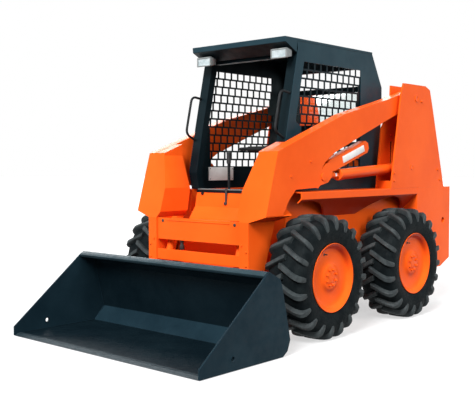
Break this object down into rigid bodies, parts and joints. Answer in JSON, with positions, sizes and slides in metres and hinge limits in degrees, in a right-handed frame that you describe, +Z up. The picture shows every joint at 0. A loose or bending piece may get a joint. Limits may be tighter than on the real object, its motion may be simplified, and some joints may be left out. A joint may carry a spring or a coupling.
{
  "type": "skid steer loader",
  "caption": "Compact wheeled loader with an open meshed cab, radial lift arms pivoted on rear towers and a low front bucket.",
  "frame": {"origin": "bottom centre of the whole machine's box, on the ground between the bucket's edge and the tailgate", "axes": "+X to the machine's left, +Y to its rear along its length, +Z up"},
  "size_m": [1.775, 3.338, 2.0507],
  "materials": {
    "black_plastic": "black moulded grip",
    "chrome_rod": "hard chromed rods",
    "dark_paint": "dark blue grey cab and bucket paint",
    "engine_grey": "grey engine castings",
    "lamp_lens": "clear lamp lens",
    "orange_paint": "glossy orange machine paint",
    "seat_vinyl": "black seat vinyl",
    "tail_lens": "red lamp lens",
    "tyre": "black tyre rubber",
    "window_glass": "clear safety glass",
    "worn_steel": "ground and worn steel edge"
  },
  "bodies": {
    "machine": {"chassis": "orange_paint", "axle_tubes": "orange_paint", "fenders": "orange_paint", "towers": "orange_paint", "engine_block": "engine_grey", "cab_frame": "dark_paint", "cab_roof": "dark_paint", "side_screens": "dark_paint", "rear_window": "window_glass", "cab_floor": "dark_paint", "seat_base": "dark_paint", "seat_cushion": "seat_vinyl", "seat_back": "seat_vinyl", "control_levers": "black_plastic", "work_lamps": "lamp_lens", "grab_handles": "dark_paint", "tail_lamps": "tail_lens"},
    "hood": {"engine_hood": "orange_paint"},
    "tailgate": {"rear_door": "orange_paint", "rear_grille": "dark_paint"},
    "restraint": {"seat_bar": "dark_paint"},
    "lift_arms": {"arm_left": "orange_paint", "arm_right": "orange_paint", "cross_member": "orange_paint", "arm_support": "orange_paint"},
    "bucket_body": {"coupler": "orange_paint", "coupler_lever": "dark_paint", "bucket": "dark_paint", "cutting_edge": "worn_steel"},
    "wheel_front_left": {"tyre_front_left": "tyre", "rim_front_left": "orange_paint"},
    "wheel_front_right": {"tyre_front_right": "tyre", "rim_front_right": "orange_paint"},
    "wheel_rear_left": {"tyre_rear_left": "tyre", "rim_rear_left": "orange_paint"},
    "wheel_rear_right": {"tyre_rear_right": "tyre", "rim_rear_right": "orange_paint"},
    "lift_barrel_left_body": {"lift_barrel_left": "orange_paint"},
    "lift_rod_left_body": {"lift_rod_left": "chrome_rod"},
    "tilt_barrel_left_body": {"tilt_barrel_left": "orange_paint"},
    "tilt_rod_left_body": {"tilt_rod_left": "chrome_rod"},
    "lift_barrel_right_body": {"lift_barrel_right": "orange_paint"},
    "lift_rod_right_body": {"lift_rod_right": "chrome_rod"},
    "tilt_barrel_right_body": {"tilt_barrel_right": "orange_paint"},
    "tilt_rod_right_body": {"tilt_rod_right": "chrome_rod"}
  },
  "joints": [
    {"name": "wheel_front_left_spin", "type": "hinge", "parent": "machine", "child": "wheel_front_left", "pos_m": [0.695, -0.333, 0.4175], "axis": [1, 0, 0], "continuous": true},
    {"name": "wheel_front_right_spin", "type": "hinge", "parent": "machine", "child": "wheel_front_right", "pos_m": [-0.695, -0.333, 0.4175], "axis": [1, 0, 0], "continuous": true},
    {"name": "wheel_rear_left_spin", "type": "hinge", "parent": "machine", "child": "wheel_rear_left", "pos_m": [0.695, 0.747, 0.4175], "axis": [1, 0, 0], "continuous": true},
    {"name": "wheel_rear_right_spin", "type": "hinge", "parent": "machine", "child": "wheel_rear_right", "pos_m": [-0.695, 0.747, 0.4175], "axis": [1, 0, 0], "continuous": true},
    {"name": "arm_lift", "type": "hinge", "parent": "machine", "child": "lift_arms", "pos_m": [0, 1.077, 1.7], "axis": [-1, 0, 0], "range_deg": [0, 70]},
    {"name": "bucket_tilt", "type": "hinge", "parent": "lift_arms", "child": "bucket_body", "pos_m": [0, -0.748, 0.165], "axis": [1, 0, 0], "range_deg": [-25, 110]},
    {"name": "lift_cylinder_swing_left", "type": "hinge", "parent": "machine", "child": "lift_barrel_left_body", "pos_m": [0.571, 1.007, 1.15], "axis": [-1, 0, 0], "range_deg": [0, 61.38]},
    {"name": "lift_rod_slide_left", "type": "slide", "parent": "lift_barrel_left_body", "child": "lift_rod_left_body", "axis": [0, -0.9984, -0.0559], "range_m": [0, 0.5986]},
    {"name": "tilt_cylinder_swing_left", "type": "hinge", "parent": "lift_arms", "child": "tilt_barrel_left_body", "pos_m": [0.334, -0.661, 0.76], "axis": [1, 0, 0], "range_deg": [-0.048, 0.177]},
    {"name": "tilt_rod_slide_left", "type": "slide", "parent": "tilt_barrel_left_body", "child": "tilt_rod_left_body", "axis": [0, -0.268, -0.9634], "range_m": [-0.0485, 0.2132]},
    {"name": "lift_cylinder_swing_right", "type": "hinge", "parent": "machine", "child": "lift_barrel_right_body", "pos_m": [-0.571, 1.007, 1.15], "axis": [-1, 0, 0], "range_deg": [0, 61.38]},
    {"name": "lift_rod_slide_right", "type": "slide", "parent": "lift_barrel_right_body", "child": "lift_rod_right_body", "axis": [0, -0.9984, -0.0559], "range_m": [0, 0.5986]},
    {"name": "tilt_cylinder_swing_right", "type": "hinge", "parent": "lift_arms", "child": "tilt_barrel_right_body", "pos_m": [-0.334, -0.661, 0.76], "axis": [1, 0, 0], "range_deg": [-0.048, 0.177]},
    {"name": "tilt_rod_slide_right", "type": "slide", "parent": "tilt_barrel_right_body", "child": "tilt_rod_right_body", "axis": [0, -0.268, -0.9634], "range_m": [-0.0485, 0.2132]},
    {"name": "hood_open", "type": "hinge", "parent": "machine", "child": "hood", "pos_m": [0, 0.909, 1.231], "axis": [1, 0, 0], "range_deg": [0, 60]},
    {"name": "rear_door_open", "type": "hinge", "parent": "machine", "child": "tailgate", "pos_m": [-0.488, 1.66, 0.7], "axis": [0, 0, 1], "range_deg": [0, 100]},
    {"name": "seat_bar_raise", "type": "hinge", "parent": "machine", "child": "restraint", "pos_m": [0, 0.687, 1.33], "axis": [-1, 0, 0], "range_deg": [0, 70]}
  ],
  "couplings": [
    {"joint": "lift_cylinder_swing_left", "follows": "arm_lift", "ratio": 0.87671},
    {"joint": "lift_rod_slide_left", "follows": "arm_lift", "m_per_rad": 0.48988},
    {"joint": "tilt_cylinder_swing_left", "follows": "bucket_tilt", "ratio": 0.00152},
    {"joint": "tilt_rod_slide_left", "follows": "bucket_tilt", "m_per_rad": 0.11097},
    {"joint": "lift_cylinder_swing_right", "follows": "arm_lift", "ratio": 0.87671},
    {"joint": "lift_rod_slide_right", "follows": "arm_lift", "m_per_rad": 0.48988},
    {"joint": "tilt_cylinder_swing_right", "follows": "bucket_tilt", "ratio": 0.00152},
    {"joint": "tilt_rod_slide_right", "follows": "bucket_tilt", "m_per_rad": 0.11097}
  ]
}
